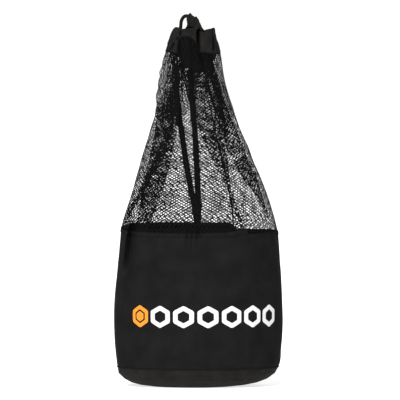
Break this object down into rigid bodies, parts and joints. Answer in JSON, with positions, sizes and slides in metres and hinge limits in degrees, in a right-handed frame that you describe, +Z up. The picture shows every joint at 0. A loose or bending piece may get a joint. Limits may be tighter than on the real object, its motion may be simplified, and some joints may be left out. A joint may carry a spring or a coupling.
{
  "type": "mesh ball bag",
  "caption": "Drawstring ball bag with a stuffed fabric body and base, a diamond net sleeve gathered to a hem casing, and a flat webbing cord up the back that ends in a loop.",
  "frame": {"origin": "middle of the outline on the flat of the base", "axes": "+Z up, -Y to the printed front, +X to the right seen from the front"},
  "size_m": [0.4208, 0.3344, 0.932],
  "materials": {
    "base_cloth": "matte",
    "body_cloth": "matte",
    "hem_cloth": "matte",
    "binding": "matte",
    "piping": "matte",
    "net": "matte",
    "webbing": "matte",
    "thread": "matte",
    "accent_film": "satin",
    "white_film": "satin"
  },
  "bodies": {
    "bag": {"base_panel": "base_cloth", "base_piping": "piping", "body_wrap": "body_cloth", "body_back_seam": "body_cloth", "rim_binding": "binding", "rim_stitching": "thread", "net_sleeve": "net", "net_back_seam": "binding", "hem_casing": "hem_cloth", "hem_stitching": "thread", "hem_peak": "hem_cloth", "drawcord": "webbing", "strap_left_leg": "webbing", "strap_right_leg": "webbing", "strap_anchor": "body_cloth", "anchor_stitching": "thread", "print_accent": "accent_film", "print_marks": "white_film"},
    "loop": {"top_loop": "webbing"}
  },
  "joints": [
    {"name": "loop_swing", "type": "hinge", "parent": "bag", "child": "loop", "pos_m": [-0.027, -0.02825, 0.8923], "axis": [-0.9822, 0.1878, 0], "range_deg": [0, 85]}
  ]
}
